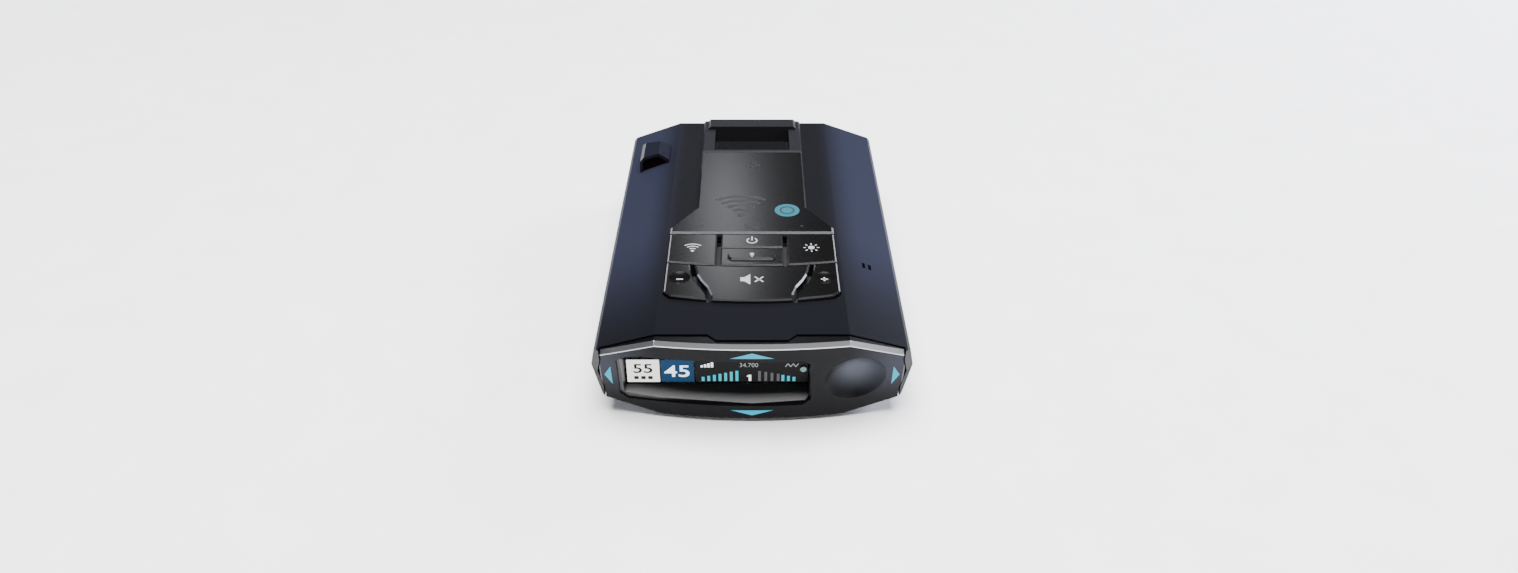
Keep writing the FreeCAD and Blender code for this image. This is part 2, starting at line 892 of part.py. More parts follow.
def bowed_y(base_y, bow, x):
    """The y of a bowed row line at x, where base_y is its y at the keypad's sides."""
    share = (x * x) / (d.key_half * d.key_half)
    return base_y - bow + bow * share


def key_outlines():
    """Each key's plan outline and arcs, by name."""
    split, bow = d.row_split_y, d.row_split_bow
    gap = d.key_gap
    inner, half = d.side_key_inner, d.key_half
    split_radius = row_radius(bow)
    front_radius = row_radius(d.row_front_bow)
    centre = d.centre_key_half
    side = [
        (inner, bowed_y(split, bow, inner)),
        (half, split),
        (half, d.row_rear_y),
        (inner, d.row_rear_y),
    ]
    mark_front = bowed_y(split, bow, centre)
    power_rear = d.row_rear_y
    rear, waist, nose = d.mute_rear_half, d.mute_waist_half, d.mute_front_half
    second = split - gap * 2
    front_line = d.row_front_y
    mute_right = [
        (nose, bowed_y(front_line, d.row_front_bow, nose)),
        (nose + 0.1, d.mute_waist_y - 7.2),
        (waist - 1.9, d.mute_waist_y - 3.3),
        (waist, d.mute_waist_y),
        (rear - 1.0, d.mute_waist_y + 3.0),
        (rear, bowed_y(second, bow, rear)),
    ]
    aside = d.mute_gap
    volume = [
        (nose + aside, bowed_y(front_line, d.row_front_bow, nose + aside)),
        (half - d.corner_cut, front_line),
        (half, front_line + d.corner_cut),
        (half, second),
        (rear + aside, bowed_y(second, bow, rear + aside)),
        (rear - 1.0 + aside * 1.1, d.mute_waist_y + 2.6),
        (waist + aside * 1.2, d.mute_waist_y - 0.6),
        (waist - 1.9 + aside * 1.2, d.mute_waist_y - 3.9),
        (nose + 0.1 + aside, d.mute_waist_y - 7.5),
    ]
    return {
        "key_power": (oblong(-centre, centre, d.power_front_y, power_rear), {}),
        "key_mark": (
            [
                (-centre, mark_front),
                (centre, mark_front),
                (centre, d.power_front_y - gap * 2),
                (-centre, d.power_front_y - gap * 2),
            ],
            {0: split_radius},
        ),
        "key_brightness": (side, {0: split_radius}),
        "key_sensitivity": ([(-x, y) for x, y in reversed(side)], {2: split_radius}),
        "key_mute": (mirrored(mute_right), {5: -split_radius, 11: front_radius}),
        "key_volume_up": (volume, {0: front_radius, 3: -split_radius}),
        "key_volume_down": ([(-x, y) for x, y in reversed(volume)], {4: -split_radius, 7: front_radius}),
    }


KEY_CENTRES = {
    "key_power": (0.0, -17.2),
    "key_mark": (0.0, -26.2),
    "key_sensitivity": (-17.6, -21.3),
    "key_brightness": (17.6, -21.3),
    "key_mute": (0.0, -38.6),
    "key_volume_down": (-20.6, -37.5),
    "key_volume_up": (20.6, -37.5),
}


def stem_box(name, centre, grow, z):
    half = d.stem_half + grow
    x, y = centre
    return box(name, (-half + x, half + x), (-half + y, half + y), z)


def make_keys():
    guide_top = d.guide_z + d.guide_thick
    openings = []
    domes_on = d.keypad_board_z + d.board_thick
    for name, (points, arcs) in key_outlines().items():
        cap = prism(f"{name}_cap", "XY_Plane", d.key_skirt_z, d.key_top_z, points, arcs)
        bevel(cap, d.key_bevel, lambda p: abs(p.z - d.key_top_z.value) < 1e-6)
        if name == "key_mark":
            ridge = prism(
                "mark_ridge",
                "XY_Plane",
                d.key_top_z - 0.5,
                d.key_top_z + d.ridge_height,
                cut_corners(-d.ridge_half, d.ridge_half, d.ridge_front_y, d.ridge_rear_y, Size.of(1.1)),
            )
            ridge_top = d.key_top_z.value + d.ridge_height.value
            bevel(ridge, d.ridge_bevel, lambda p: abs(p.z - ridge_top) < 1e-6)
            cap = fuse("mark_cap_whole", cap, ridge)
        centre = KEY_CENTRES[name]
        stem = stem_box(f"{name}_stem", centre, 0, (d.stem_tip_z, d.key_skirt_z))
        catch = stem_box(f"{name}_catch", centre, d.collar_half - d.stem_half, (d.stem_tip_z, d.collar_z))
        whole = fuse(f"{name}_whole", cap, stem, catch)
        if name.startswith("key_volume"):
            hollow = doc.addObject("Part::Sphere", f"{name}_hollow")
            bind(hollow, "Radius", d.finger_radius)
            bind(hollow, "Placement.Base.x", centre[0])
            bind(hollow, "Placement.Base.y", centre[1])
            bind(hollow, "Placement.Base.z", d.key_top_z + d.finger_radius - d.finger_depth)
            whole = cut(f"{name}_dished", whole, hollow)
        keep(whole, name)
        openings.append(stem_box(f"{name}_opening", centre, d.stem_play, (d.guide_z - 1, guide_top + 1)))
        dome = doc.addObject("Part::Cone", f"{name}_dome")
        bind(dome, "Radius1", d.dome_radius)
        bind(dome, "Radius2", d.stem_half * 0.9)
        bind(dome, "Height", d.stem_tip_z - domes_on)
        bind(dome, "Placement.Base.x", centre[0])
        bind(dome, "Placement.Base.y", centre[1])
        bind(dome, "Placement.Base.z", domes_on)
        keep(dome, name.replace("key_", "dome_"))
    tray = cut(
        "guide_tray",
        key_field(Size.of(1.6), d.guide_z, d.guide_rim_z, "guide_blank"),
        key_field(d.well_gap, guide_top, d.guide_rim_z + 1, "guide_hollow"),
    )
    guide = cut("guide_plate", tray, *openings)
    keep(guide, "key_guide")
    keep(key_field(Size.of(1.0), d.keypad_board_z, domes_on, "keypad_board_body"), "keypad_board")


# ---------------------------------------------------------------- mount pocket


def make_mount():
    top = d.deck_z + d.console_height
    frame = prism(
        "mount_frame_body",
        "XY_Plane",
        d.deck_z,
        top,
        oblong(-d.mount_half, d.mount_half, d.mount_front_y, d.mount_rear_y),
    )
    add(
        frame,
        "XZ_Plane",
        d.pocket_rear_y,
        d.mount_rear_y - 0.4,
        [(-d.bar_half - 1.0, top), (d.bar_half + 1.0, top), (d.bar_half, d.bar_z), (-d.bar_half, d.bar_z)],
    )
    pocket(
        frame,
        "XY_Plane",
        d.deck_z,
        d.bar_z + 1,
        oblong(-d.pocket_half, d.pocket_half, d.pocket_front_y, d.pocket_rear_y),
    )
    outer_edge = d.mount_half.value - 0.1

    def outside_top(point):
        on_plate = abs(point.z - top.value) < 1e-6 and (
            abs(point.x) > outer_edge or point.y < d.mount_front_y.value + 0.1
        )
        on_bar = abs(point.z - d.bar_z.value) < 1e-6 and point.y > d.mount_rear_y.value - 1
        return on_plate or on_bar

    bevel(frame, d.console_bevel, outside_top)
    keep(frame, "mount_frame")

    outside = d.pocket_half + d.pocket_wall
    front, rear = d.pocket_front_y - d.pocket_wall, d.pocket_rear_y + d.pocket_wall
    floor = d.pocket_floor_z
    base = floor - d.pocket_wall
    cup = prism("pocket_cup", "XY_Plane", base, d.deck_z, oblong(-outside, outside, front, rear))
    pocket(
        cup,
        "XY_Plane",
        floor,
        d.deck_z,
        oblong(-d.pocket_half, d.pocket_half, d.pocket_front_y, d.pocket_rear_y),
    )
    for side in (-1, 1):
        place = (d.magnet_x * side, 50.5)
        pocket(cup, "XY_Plane", base, floor - 0.8, place, radius=d.magnet_radius)
    keep(cup, "mount_pocket")
    plate = box("strike_plate", (-d.pocket_half + 1, d.pocket_half - 1), (44.2, 57.2), (floor, floor + 0.5))
    keep(plate, "strike_plate")
    magnet_top = floor - 0.8
    magnets = [
        cylinder(
            f"magnet_{n}",
            "z",
            (d.magnet_x * side, 50.5),
            d.magnet_radius - 0.1,
            magnet_top - d.magnet_thick,
            magnet_top,
        )
        for n, side in enumerate((-1, 1))
    ]
    keep(fuse("magnets", *magnets), "mount_magnets")


# ---------------------------------------------------------------- rear laser hood and light sensor

HOOD_OUTLINE = [(-38.6, 25.0), (-29.0, 25.0), (-28.4, 32.2), (-31.8, 34.5), (-37.0, 33.0), (-38.3, 31.4)]
LENS_OUTLINE = [(-37.6, 25.0), (-29.9, 25.0), (-29.5, 31.6), (-32.0, 33.4), (-36.6, 32.1), (-37.4, 31.0)]


def sized(points):
    return [(Size.of(x), Size.of(y)) for x, y in points]


def make_hood(envelope):
    body = prism("hood_body", "XZ_Plane", d.hood_front_y, d.hood_tail_y, sized(HOOD_OUTLINE))
    slope = prism(
        "hood_slope",
        "YZ_Plane",
        -40,
        -20,
        [(d.hood_roof_y, 35.5), (d.hood_tail_y + 1, 28.0), (d.hood_tail_y + 1, 36.0), (d.hood_roof_y, 36.0)],
    )
    hollow = prism(
        "hood_hollow", "XZ_Plane", d.hood_front_y - 1, d.hood_roof_y - 0.6, sized(LENS_OUTLINE)
    )
    keep(cut("hood_shell", body, slope, hollow, envelope), "laser_hood")
    lens_y = d.hood_front_y + 0.7
    lens = prism("rear_lens_body", "XZ_Plane", lens_y, lens_y + d.hood_lens_thick, sized(LENS_OUTLINE))
    keep(cut("rear_lens", lens, envelope), "rear_laser_lens")
    sensor = box("rear_sensor_can", (-35.6, -31.4), (40.2, 44.6), (27.0, 30.6))
    keep(sensor, "rear_laser_sensor")
    light = box("light_sensor_chip", (d.slot_x - 2, d.slot_x + 2), (d.slot_y - 2, d.slot_y + 2), (24.2, 25.4))
    keep(light, "light_sensor")


# ---------------------------------------------------------------- electronics


def horn_outline(x, mouth_y, direction, inset):
    """A horn's plan: flared mouth, then a straight waveguide, opening at mouth_y towards direction."""
    throat_y = mouth_y - d.horn_length * direction
    end_y = throat_y - d.guide_length * direction + inset * direction
    mouth, throat = d.horn_mouth_half - inset, d.horn_throat_half - inset
    return [
        (x - mouth, mouth_y),
        (x + mouth, mouth_y),
        (x + throat, throat_y),
        (x + throat, end_y),
        (x - throat, end_y),
        (x - throat, throat_y),
    ]


def make_horn(name, x, mouth_y, direction):
    floor = d.board_z + d.board_thick
    roof = floor + d.horn_height
    horn = prism(f"{name}_body", "XY_Plane", floor, roof, horn_outline(x, mouth_y, direction, Size.of(0)))
    pocket(
        horn,
        "XY_Plane",
        floor + d.horn_wall,
        roof - d.horn_wall,
        horn_outline(x, mouth_y, direction, d.horn_wall),
    )
    keep(horn, name)


def make_electronics():
    floor = d.board_z + d.board_thick
    half = d.main_board_half
    notch = 6.0
    board = prism(
        "main_board_body",
        "XY_Plane",
        d.board_z,
        floor,
        [
            (-half, d.main_board_front),
            (half, d.main_board_front),
            (half, d.main_board_rear - notch),
            (half - notch, d.main_board_rear),
            (-half + notch, d.main_board_rear),
            (-half, d.main_board_rear - notch),
        ],
    )
    keep(board, "main_board")
    make_horn("front_horn", d.front_horn_x, d.front_horn_y, 1)
    make_horn("rear_horn", d.rear_horn_x, d.rear_horn_y, -1)

    can = box("can_outside", (-12, 2), (-4, 12), (floor, floor + 4))
    hollow = box("can_inside", (-11.6, 1.6), (-3.6, 11.6), (floor, floor + 3.6))
    keep(cut("rf_can", can, hollow), "rf_shield")
    chips = [
        box("chip_cpu", (-24, -14), (-18, -8), (floor, floor + 1.4)),
        box("chip_memory", (-24, -16), (-4, 4), (floor, floor + 1.2)),
        box("chip_power", (-9, -3), (-44, -38), (floor, floor + 1.6)),
        box("coil", (-28, -21), (30, 37), (floor, floor + 4)),
    ]
    keep(fuse("chips", *chips), "board_chips")
    module = box("module_can", (-30, -18), (44, 54), (floor, floor + 2.2))
    keep(module, "wireless_module")
    keep(cylinder("cell", "z", (-22, 18), Size.of(5.0), floor, floor + 4.5), "backup_capacitor")

    gps_top = d.gps_z + d.board_thick
    half = d.gps_board_half
    keep(box("gps_plate", (-half, half), (d.gps_y - half, d.gps_y + half), (d.gps_z, gps_top)), "gps_board")
    half = d.gps_half
    patch = prism(
        "gps_patch_body",
        "XY_Plane",
        gps_top,
        gps_top + 3.4,
        cut_corners(-half, half, d.gps_y - half, d.gps_y + half, Size.of(1.2)),
    )
    keep(patch, "gps_patch")

    centre = (d.speaker_x, d.speaker_y)
    seat = d.base_z + d.wall + 0.05
    rim = d.speaker_radius
    basket = cut(
        "basket",
        cylinder("basket_outside", "z", centre, rim, seat, seat + d.speaker_height - 1.6),
        cylinder("basket_inside", "z", centre, rim - 1.2, seat, seat + 3.2),
    )
    keep(basket, "speaker_frame")
    cone = doc.addObject("Part::Cone", "cone_solid")
    bind(cone, "Radius1", rim - 1.5)
    bind(cone, "Radius2", Size.of(4.0))
    bind(cone, "Height", Size.of(2.4))
    bind(cone, "Placement.Base.x", d.speaker_x)
    bind(cone, "Placement.Base.y", d.speaker_y)
    bind(cone, "Placement.Base.z", seat + 0.5)
    keep(cone, "speaker_cone")
    top = seat + d.speaker_height
    keep(cylinder("speaker_slug", "z", centre, Size.of(7.0), top - 1.6, top - 0.2), "speaker_magnet")

    ribbon = prism(
        "ribbon_body",
        "YZ_Plane",
        -30,
        -18,
        [(-53.1, 12.9), (-48.5, 12.9), (-48.5, 13.2), (-52.8, 13.2), (-52.8, 20.0), (-53.1, 20.0)],
    )
    keep(ribbon, "display_ribbon")


def make_sockets():
    floor = d.board_z + d.board_thick
    left = d.socket_x
    power_x = (left, left + 13.6)
    power = cut(
        "power_block",
        box(
            "power_body",
            power_x,
            (d.power_y - d.power_half, d.power_y + d.power_half),
            (floor, floor + d.power_height),
        ),
        box("power_socket", (left, left + 11), (d.power_y - 5, d.power_y + 5), (floor + 1.2, floor + 7.8)),
        box("power_latch", (left, left + 11), (d.power_y - 1.7, d.power_y + 1.7), (floor + 7.8, floor + 8.6)),
    )
    keep(power, "power_jack")
    usb = cut(
        "usb_block",
        box(
            "usb_body",
            (left + 0.3, left + 7.5),
            (d.usb_y - d.usb_half, d.usb_y + d.usb_half),
            (floor, floor + d.usb_height),
        ),
        box("usb_slot", (left + 0.3, left + 5.5), (d.usb_y - 3.7, d.usb_y + 3.7), (floor + 0.7, floor + 2.7)),
    )
    middle = (d.usb_y - 2.6, d.usb_y + 2.6)
    tongue = box("usb_tongue", (left + 0.9, left + 5.5), middle, (floor + 1.3, floor + 1.8))
    keep(fuse("usb_whole", usb, tongue), "usb_port")
    place = (d.earphone_y, floor + d.earphone_collar)
    reach = left + d.earphone_depth
    jack = fuse(
        "earphone_solid",
        cylinder("earphone_barrel", "x", place, d.earphone_collar, left, left + 4.2),
        box(
            "earphone_body",
            (left + 4, reach + 1.5),
            (d.earphone_y - 3.2, d.earphone_y + 3.2),
            (floor, floor + d.earphone_collar * 2),
        ),
    )
    keep(
        cut("earphone_bored", jack, cylinder("earphone_bore", "x", place, d.earphone_radius, left, reach)),
        "earphone_jack",
    )


def make_road_side():
    inner, outer = d.rear_y - 2.2, d.rear_y - 0.2
    split = d.visor_split
    keep(
        prism("radome_body", "XZ_Plane", inner, outer, visor_outline(split + 0.2, d.visor_half, Size.of(0))),
        "front_radome",
    )
    outline = visor_outline(-d.visor_half, split - 0.2, Size.of(0))
    lens = prism("front_lens_body", "XZ_Plane", inner, outer, outline)
    keep(lens, "front_laser_lens")
    floor = d.board_z + d.board_thick
    keep(box("front_sensor_can", (-19, -12), (55, 62), (floor, floor + 6)), "front_laser_sensor")


# ---------------------------------------------------------------- fasteners, feet and label


def make_underside():
    screws = []
    for n, place in enumerate(boss_places()):
        x, y = place
        head_top = d.screw_head_z + 1.5
        shank = cylinder(f"shank_{n}", "z", place, d.screw_radius, head_top - 0.1, d.screw_tip_z)
        head = cylinder(f"head_{n}", "z", place, d.screw_head_radius, d.screw_head_z, head_top)
        slots = [
            box(f"drive_{n}_{m}", (x - a, x + a), (y - b, y + b), (d.screw_head_z, d.screw_head_z + 0.9))
            for m, (a, b) in enumerate(((1.2, 0.25), (0.25, 1.2)))
        ]
        screws.append(cut(f"screw_{n}", fuse(f"screw_{n}_solid", shank, head), *slots))
    keep(fuse("screws", *screws), "case_screws")
    feet = [
        cylinder(f"foot_{n}", "z", place, d.foot_radius, 0, d.base_z + d.foot_recess)
        for n, place in enumerate(foot_places())
    ]
    keep(fuse("feet", *feet), "rubber_feet")
    label = prism(
        "label_body",
        "XY_Plane",
        d.base_z + 0.1,
        d.base_z + d.label_depth,
        cut_corners(
            -d.label_half_x,
            d.label_half_x,
            d.label_y - d.label_half_y,
            d.label_y + d.label_half_y,
            Size.of(1.5),
        ),
    )
    keep(label, "rating_label")


# ---------------------------------------------------------------- build, check and write


def check():
    """Stops the build if anything in the document failed, or a sub-part is not whole solids."""
    for thing in doc.Objects:
        if "Invalid" in thing.State or "Error" in thing.State:
            raise RuntimeError(f"{thing.Label} failed: {thing.State}")
    for thing in kept:
        shape = thing.Shape
        if shape.isNull() or not shape.isValid() or not shape.Solids:
            raise RuntimeError(f"{thing.Label} is not a valid solid")


def main():
    make_sheet()
    envelope = make_envelope()
    make_shells(envelope)
    make_face(envelope)
    make_console()
    make_keys()
    make_mount()
    make_hood(envelope)
    make_electronics()
    make_sockets()
    make_road_side()
    make_underside()
    doc.recompute()
    check()
    os.makedirs("parts", exist_ok=True)
    for thing in kept:
        thing.Shape.exportStep(f"parts/{thing.Label}.step")
        print(thing.Label, len(thing.Shape.Solids), round(thing.Shape.Volume, 1))
    print(len(kept), "nodes")



main()
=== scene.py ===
"""Looks for the windscreen radar detector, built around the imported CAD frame.

Blender works in metres. The flat pieces on the screen, the keys and the label are laid out in mm, times MM.
"""

import math

import bmesh
import bpy
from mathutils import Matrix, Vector


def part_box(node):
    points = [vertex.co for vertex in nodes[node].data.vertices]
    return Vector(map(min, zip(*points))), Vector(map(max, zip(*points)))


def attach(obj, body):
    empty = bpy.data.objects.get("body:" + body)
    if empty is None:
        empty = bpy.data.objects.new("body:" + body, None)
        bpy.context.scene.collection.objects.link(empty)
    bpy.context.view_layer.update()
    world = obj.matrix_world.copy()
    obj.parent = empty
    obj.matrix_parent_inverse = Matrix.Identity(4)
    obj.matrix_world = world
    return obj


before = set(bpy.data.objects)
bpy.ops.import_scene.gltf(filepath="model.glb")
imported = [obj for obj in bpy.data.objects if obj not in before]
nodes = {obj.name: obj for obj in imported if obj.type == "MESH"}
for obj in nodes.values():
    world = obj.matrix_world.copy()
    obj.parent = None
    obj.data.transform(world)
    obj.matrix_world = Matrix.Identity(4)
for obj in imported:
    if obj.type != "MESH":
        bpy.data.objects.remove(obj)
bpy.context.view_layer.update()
MM = 0.001
KEYS = [name for name in nodes if name.startswith("key_") and name != "key_guide"]

# ------------------------------------------------------------------ camera, light and floor

# the camera that the photograph's outline fits
CAMERA_AT = (0, -0.295, 0.2038)
CAMERA_PITCH = 56  # degrees up from looking straight down
CAMERA_LENS = 25.754
CAMERA_SHIFT = 0.0046

WHITE = (1, 1, 1)
COOL = (0.80, 0.84, 1.0)
OBJECT_MIDDLE = (0, 0, 0.02)
# place, what it points at, width, height, watts, colour
LIGHTS = {
    "top_light": ((0.0, -0.16, 1.3), (0, -0.02, 0), 1.0, 0.92, 88, WHITE),
    "rear_light": ((-0.03, 0.75, 0.50), OBJECT_MIDDLE, 0.05, 0.16, 0.24, (0.95, 0.97, 1.0)),
    "left_light": ((-0.75, 0.30, 0.30), OBJECT_MIDDLE, 0.4, 0.2, 2.2, COOL),
    "right_light": ((0.75, 0.45, 0.42), OBJECT_MIDDLE, 0.4, 0.3, 14.0, COOL),
    "front_light": ((0.60, -0.75, 0.25), OBJECT_MIDDLE, 0.4, 0.3, 3.5, WHITE),
}
FLOOR_HALF = 4.0
FLOOR_DROP = 0.00005  # keeps the floor clear of the feet's soles


def add_object(name, data, place=(0, 0, 0)):
    obj = bpy.data.objects.new(name, data)
    bpy.context.scene.collection.objects.link(obj)
    obj.location = place
    return obj


def make_camera():
    camera = bpy.data.cameras.new("camera")
    camera.sensor_width = 36
    camera.lens = CAMERA_LENS
    camera.shift_x = CAMERA_SHIFT
    camera.clip_start = 0.01
    shown = add_object("camera", camera, CAMERA_AT)
    shown.rotation_euler = (math.radians(CAMERA_PITCH), 0, 0)
    bpy.context.scene.camera = shown


def make_lights():
    world = bpy.data.worlds.new("studio")
    world.use_nodes = True
    background = world.node_tree.nodes["Background"]
    background.inputs["Color"].default_value = (0.93, 0.95, 1.0, 1)
    background.inputs["Strength"].default_value = 0.12
    bpy.context.scene.world = world

    for name, (place, at, width, height, watts, colour) in LIGHTS.items():
        lamp = bpy.data.lights.new(name, "AREA")
        lamp.shape = "RECTANGLE"
        lamp.size = width
        lamp.size_y = height
        lamp.energy = watts
        lamp.color = colour
        holder = add_object(name, lamp, place)
        holder.rotation_euler = (Vector(at) - holder.location).to_track_quat("-Z", "Y").to_euler()


def make_floor():
    half = FLOOR_HALF
    corners = [(-half, -half, 0), (half, -half, 0), (half, half, 0), (-half, half, 0)]
    mesh = bpy.data.meshes.new("floor")
    mesh.from_pydata(corners, [], [(0, 1, 2, 3)])
    floor = add_object("floor", mesh, (0, 0, -FLOOR_DROP))
    floor.data.materials.append(surface("floor_paper", (0.86, 0.86, 0.87), 0.9, grain=900, bump=0.02))


# ------------------------------------------------------------------ shader nodes


def shader_node(tree, kind, **values):
    """Adds a node. From_Min=1 sets its input called From Min."""
    node = tree.nodes.new("ShaderNode" + kind)
    for name, value in values.items():
        node.inputs[name.replace("_", " ")].default_value = value
    return node


def ramp(tree, value, start, end, smooth=True, top=1.0):
    """0 where a value is at start, top where it is at end, and the same again beyond them."""
    node = shader_node(tree, "MapRange", From_Min=start, From_Max=end, To_Max=top)
    if smooth:
        node.interpolation_type = "SMOOTHSTEP"
    tree.links.new(value, node.inputs["Value"])
    return node.outputs["Result"]


def maths(tree, operation, *values):
    node = shader_node(tree, "Math")
    node.operation = operation
    for socket, value in zip(node.inputs, values):
        tree.links.new(value, socket)
    return node.outputs[0]


def split(tree, vector):
    node = shader_node(tree, "SeparateXYZ")
    tree.links.new(vector, node.inputs["Vector"])
    return node.outputs["X"], node.outputs["Y"], node.outputs["Z"]


def mix_colour(tree, factor, first, second):
    """Goes from the first colour to the second. Each argument is a plain value or another node's output."""
    node = shader_node(tree, "Mix")
    node.data_type = "RGBA"
    # the colour sockets share their names with the number sockets, so they are told apart by type
    first_in, second_in = [socket for socket in node.inputs if socket.type == "RGBA"]
    for socket, value in ((node.inputs[0], factor), (first_in, first), (second_in, second)):
        if isinstance(value, bpy.types.NodeSocket):
            tree.links.new(value, socket)
        else:
            socket.default_value = (*value, 1) if socket.type == "RGBA" else value
    return [socket for socket in node.outputs if socket.type == "RGBA"][0]


# ------------------------------------------------------------------ colours, painted light and painted highlights that change across a part

# each pair is where a change starts and where it is complete, on the object's own axes
BAND_EDGE = (0.022, 0.034)  # distance from the middle line, over which the deck's charcoal turns blue
DECK_FRONT = (-0.064, -0.005)  # Y, over which the casing comes up from the dark next to the face
FACET_LIGHT_ACROSS = (0.025, 0.041)  # distance from the middle line, over which the face takes painted light towards its sides
FACET_LIGHT_END = (0.0421, 0.0414)  # the same distance, where the painted light ends at the cheeks
FACET_LIGHT_UP = (0.006, 0.020)  # Z, over which the painted light on the sides comes up from the face's lower edge
# middle of the painted highlight in the face's round dish
HIGHLIGHT_MIDDLE = (0.0286, 0, 0.0175)
HIGHLIGHT_SPREAD = (0.0085, 0.001)  # distance from that middle, over which the painted highlight comes up
EDGE_HIGHLIGHT_SLOPE = (0.89, 0.80)  # Z of the normal: lower than this isn't lying flat and takes the painted edge highlight
BAND_STRENGTH = 0.8  # how much of the casing's colour the bands take over


def band_to_wing(centre, wing, front):
    """Charcoal on the casing's middle band and blue on its wings, darker towards the face."""

    def build(tree, place, colour):
        x, y, _ = split(tree, place.outputs["Object"])
        across = ramp(tree, maths(tree, "ABSOLUTE", x), *BAND_EDGE)
        along = ramp(tree, y, *DECK_FRONT)
        banded = mix_colour(tree, along, front, mix_colour(tree, across, centre, wing))
        return mix_colour(tree, BAND_STRENGTH, colour, banded)

    return build


def face_painted_light(facet_light, dish_highlight):
    """Painted light on the face: paler side facets where light falls on them, and a painted highlight at the
    bottom of its round dish.
    """

    def build(tree, place, colour):
        x, _, z = split(tree, place.outputs["Object"])
        aside = maths(tree, "ABSOLUTE", x)
        across = ramp(tree, aside, *FACET_LIGHT_ACROSS)
        inside = ramp(tree, aside, *FACET_LIGHT_END, smooth=False)
        beside = maths(tree, "MULTIPLY", across, inside)
        facets_lit = mix_colour(tree, maths(tree, "MULTIPLY", beside, ramp(tree, z, *FACET_LIGHT_UP)), colour, facet_light)

        seen_flat = shader_node(tree, "CombineXYZ")
        tree.links.new(x, seen_flat.inputs["X"])
        tree.links.new(z, seen_flat.inputs["Z"])
        away = shader_node(tree, "VectorMath")
        away.operation = "DISTANCE"
        away.inputs[1].default_value = HIGHLIGHT_MIDDLE
        tree.links.new(seen_flat.outputs["Vector"], away.inputs[0])
        return mix_colour(tree, ramp(tree, away.outputs["Value"], *HIGHLIGHT_SPREAD), facets_lit, dish_highlight)

    return build


def flat_to_edge_highlight(edge):
    """Painted highlight along the edges: the faces that lie flat keep their colour and everything steeper
    takes another, paler one that stands in for the glints on the rounded edges.
    """

    def build(tree, place, colour):
        _, _, up = split(tree, place.outputs["Normal"])
        return mix_colour(tree, ramp(tree, up, *EDGE_HIGHLIGHT_SLOPE, smooth=False), colour, edge)

    return build


# ------------------------------------------------------------------ materials

MOTTLE_SCALE = 55
SMOOTHEST = 0.02
COAT_ROUGHNESS = 0.08
BUMP_DEPTH = 0.0001
WORN_EDGE = (0.52, 0.62)  # pointiness, from nearly flat to a sharp edge


def surface(
    name,
    colour,
    rough,
    metal=0.0,
    grain=3500.0,
    bump=0.08,
    mottle=0.06,
    spread=0.05,
    coat=0.0,
    specular=0.5,
    wear=0.0,
    brushed=None,
    gradient=None,
    emission=0.0,
    glow=None,
):
    """A moulded or painted surface: a fine grain in the bump and roughness, a broad mottle in the colour, and
    optionally paler worn edges, brush lines along an axis, or a colour that changes across the part, which on
    some parts is painted light."""
    made = bpy.data.materials.new(name)
    made.use_nodes = True
    tree = made.node_tree
    link = tree.links.new
    put = tree.nodes["Principled BSDF"].inputs
    put["Metallic"].default_value = metal
    put["Coat Weight"].default_value = coat
    put["Coat Roughness"].default_value = COAT_ROUGHNESS
    put["Specular IOR Level"].default_value = specular
    if emission:
        put["Emission Color"].default_value = (*(glow or colour), 1)
        put["Emission Strength"].default_value = emission

    place = shader_node(tree, "TexCoord")
    stretch = shader_node(tree, "Mapping", Scale=brushed or (1, 1, 1))
    link(place.outputs["Object"], stretch.inputs["Vector"])
    fine = shader_node(tree, "TexNoise", Scale=grain, Detail=4)
    link(stretch.outputs["Vector"], fine.inputs["Vector"])
    broad = shader_node(tree, "TexNoise", Scale=MOTTLE_SCALE, Detail=6)
    link(place.outputs["Object"], broad.inputs["Vector"])

    roughness = shader_node(tree, "MapRange", To_Min=max(SMOOTHEST, rough - spread), To_Max=rough + spread)
    link(fine.outputs["Fac"], roughness.inputs["Value"])
    link(roughness.outputs["Result"], put["Roughness"])

    tone = mix_colour(tree, broad.outputs["Fac"], colour, [part * (1 - mottle * 2) for part in colour])
    if gradient:
        tone = gradient(tree, place, tone)
    if wear:
        about = shader_node(tree, "NewGeometry")
        bare = ramp(tree, about.outputs["Pointiness"], *WORN_EDGE, smooth=False, top=wear)
        tone = mix_colour(tree, bare, tone, [min(1, part * 2.2 + 0.06) for part in colour])
    link(tone, put["Base Color"])

    relief = shader_node(tree, "Bump", Strength=bump, Distance=BUMP_DEPTH)
    link(fine.outputs["Fac"], relief.inputs["Height"])
    link(relief.outputs["Normal"], put["Normal"])
    return made


def glass(name, colour, alpha):
    made = surface(name, colour, 0.05, bump=0.0, grain=400, mottle=0.02, coat=0.15, specular=0.15)
    made.node_tree.nodes["Principled BSDF"].inputs["Alpha"].default_value = alpha
    return made


def lit(name, colour, strength):
    """A patch of the screen that shines on its own."""
    dark = [part * 0.3 for part in colour]
    return surface(name, dark, 0.4, grain=6000, bump=0.01, specular=0.1, emission=strength, glow=colour)


def circuit(name):
    """Green solder mask with paler copper tracks under it and small gold pads."""
    mask, track, pad = (0.012, 0.085, 0.035), (0.05, 0.22, 0.07), (0.62, 0.45, 0.16)
    made = surface(name, mask, 0.32, coat=0.4, bump=0.05)
    tree = made.node_tree
    link = tree.links.new
    place = [node for node in tree.nodes if node.type == "TEX_COORD"][0].outputs["Object"]
    tracks = shader_node(
        tree,
        "TexBrick",
        Scale=180,
        Mortar_Size=0.03,
        Color1=(*mask, 1),
        Color2=(0.010, 0.070, 0.030, 1),
        Mortar=(*track, 1),
    )
    link(place, tracks.inputs["Vector"])
    pads = shader_node(tree, "TexVoronoi", Scale=300)
    link(place, pads.inputs["Vector"])
    on_pad = ramp(tree, pads.outputs["Distance"], 0.14, 0.10, smooth=False)
    joined = mix_colour(tree, on_pad, tracks.outputs["Color"], pad)
    link(joined, tree.nodes["Principled BSDF"].inputs["Base Color"])
    return made


make_camera()
make_lights()
make_floor()

